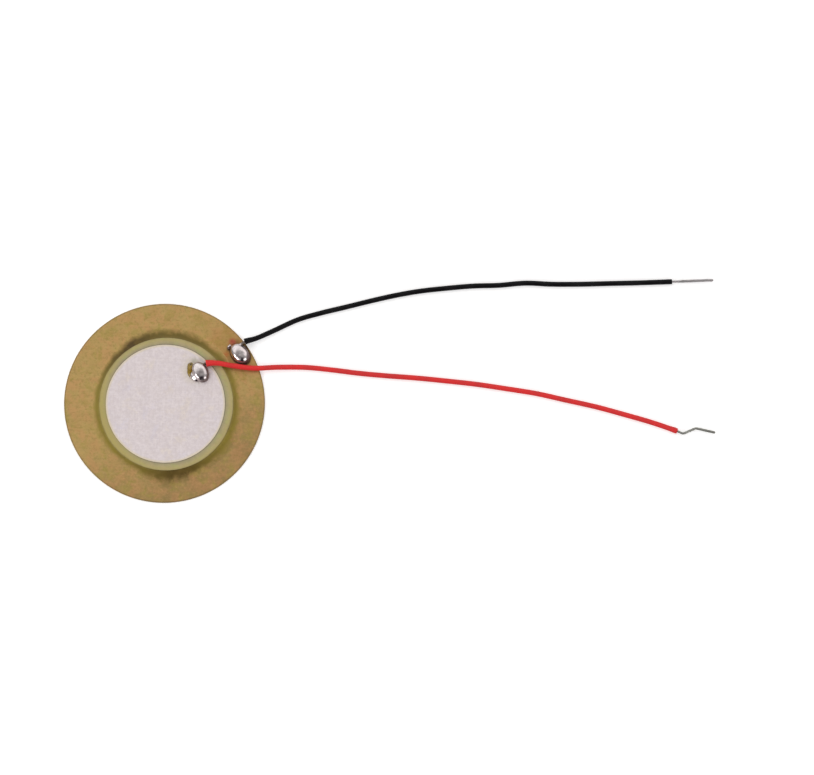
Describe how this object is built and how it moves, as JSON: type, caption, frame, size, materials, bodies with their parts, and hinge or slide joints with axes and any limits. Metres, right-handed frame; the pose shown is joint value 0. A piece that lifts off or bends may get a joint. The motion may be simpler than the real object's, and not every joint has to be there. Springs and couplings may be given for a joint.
{
  "type": "piezo disc",
  "caption": "Flat round piezo element: a silvered ceramic disc glued on a brass plate, with a red and a black lead soldered on, used as a buzzer or contact pickup.",
  "frame": {"origin": "centre of the brass plate, on its back face", "axes": "+Z out of the plate on the ceramic's side, +X the way that the leads run"},
  "size_m": [0.0875, 0.0304, 0.0015],
  "materials": {
    "brass": "rolled sheet, dulled by handling",
    "epoxy": "cured brown-green epoxy",
    "fired_silver": "matt fired silver paint",
    "ceramic": "unglazed lead zirconate titanate",
    "solder": "bright frozen solder",
    "rosin": "clear amber rosin",
    "tinned_strands": "solder-dipped copper strands",
    "black_insulation": "satin soft plastic",
    "red_insulation": "satin soft plastic"
  },
  "bodies": {
    "root": {"brass_plate": "brass", "adhesive_bond": "epoxy", "lower_electrode": "fired_silver", "piezo_ceramic": "ceramic", "upper_electrode": "fired_silver", "plate_solder_joint": "solder", "solder_bead": "solder", "electrode_solder_joint": "solder", "rosin_residue": "rosin", "black_conductor": "tinned_strands", "black_insulation": "black_insulation", "red_conductor": "tinned_strands", "red_insulation": "red_insulation"}
  },
  "joints": []
}
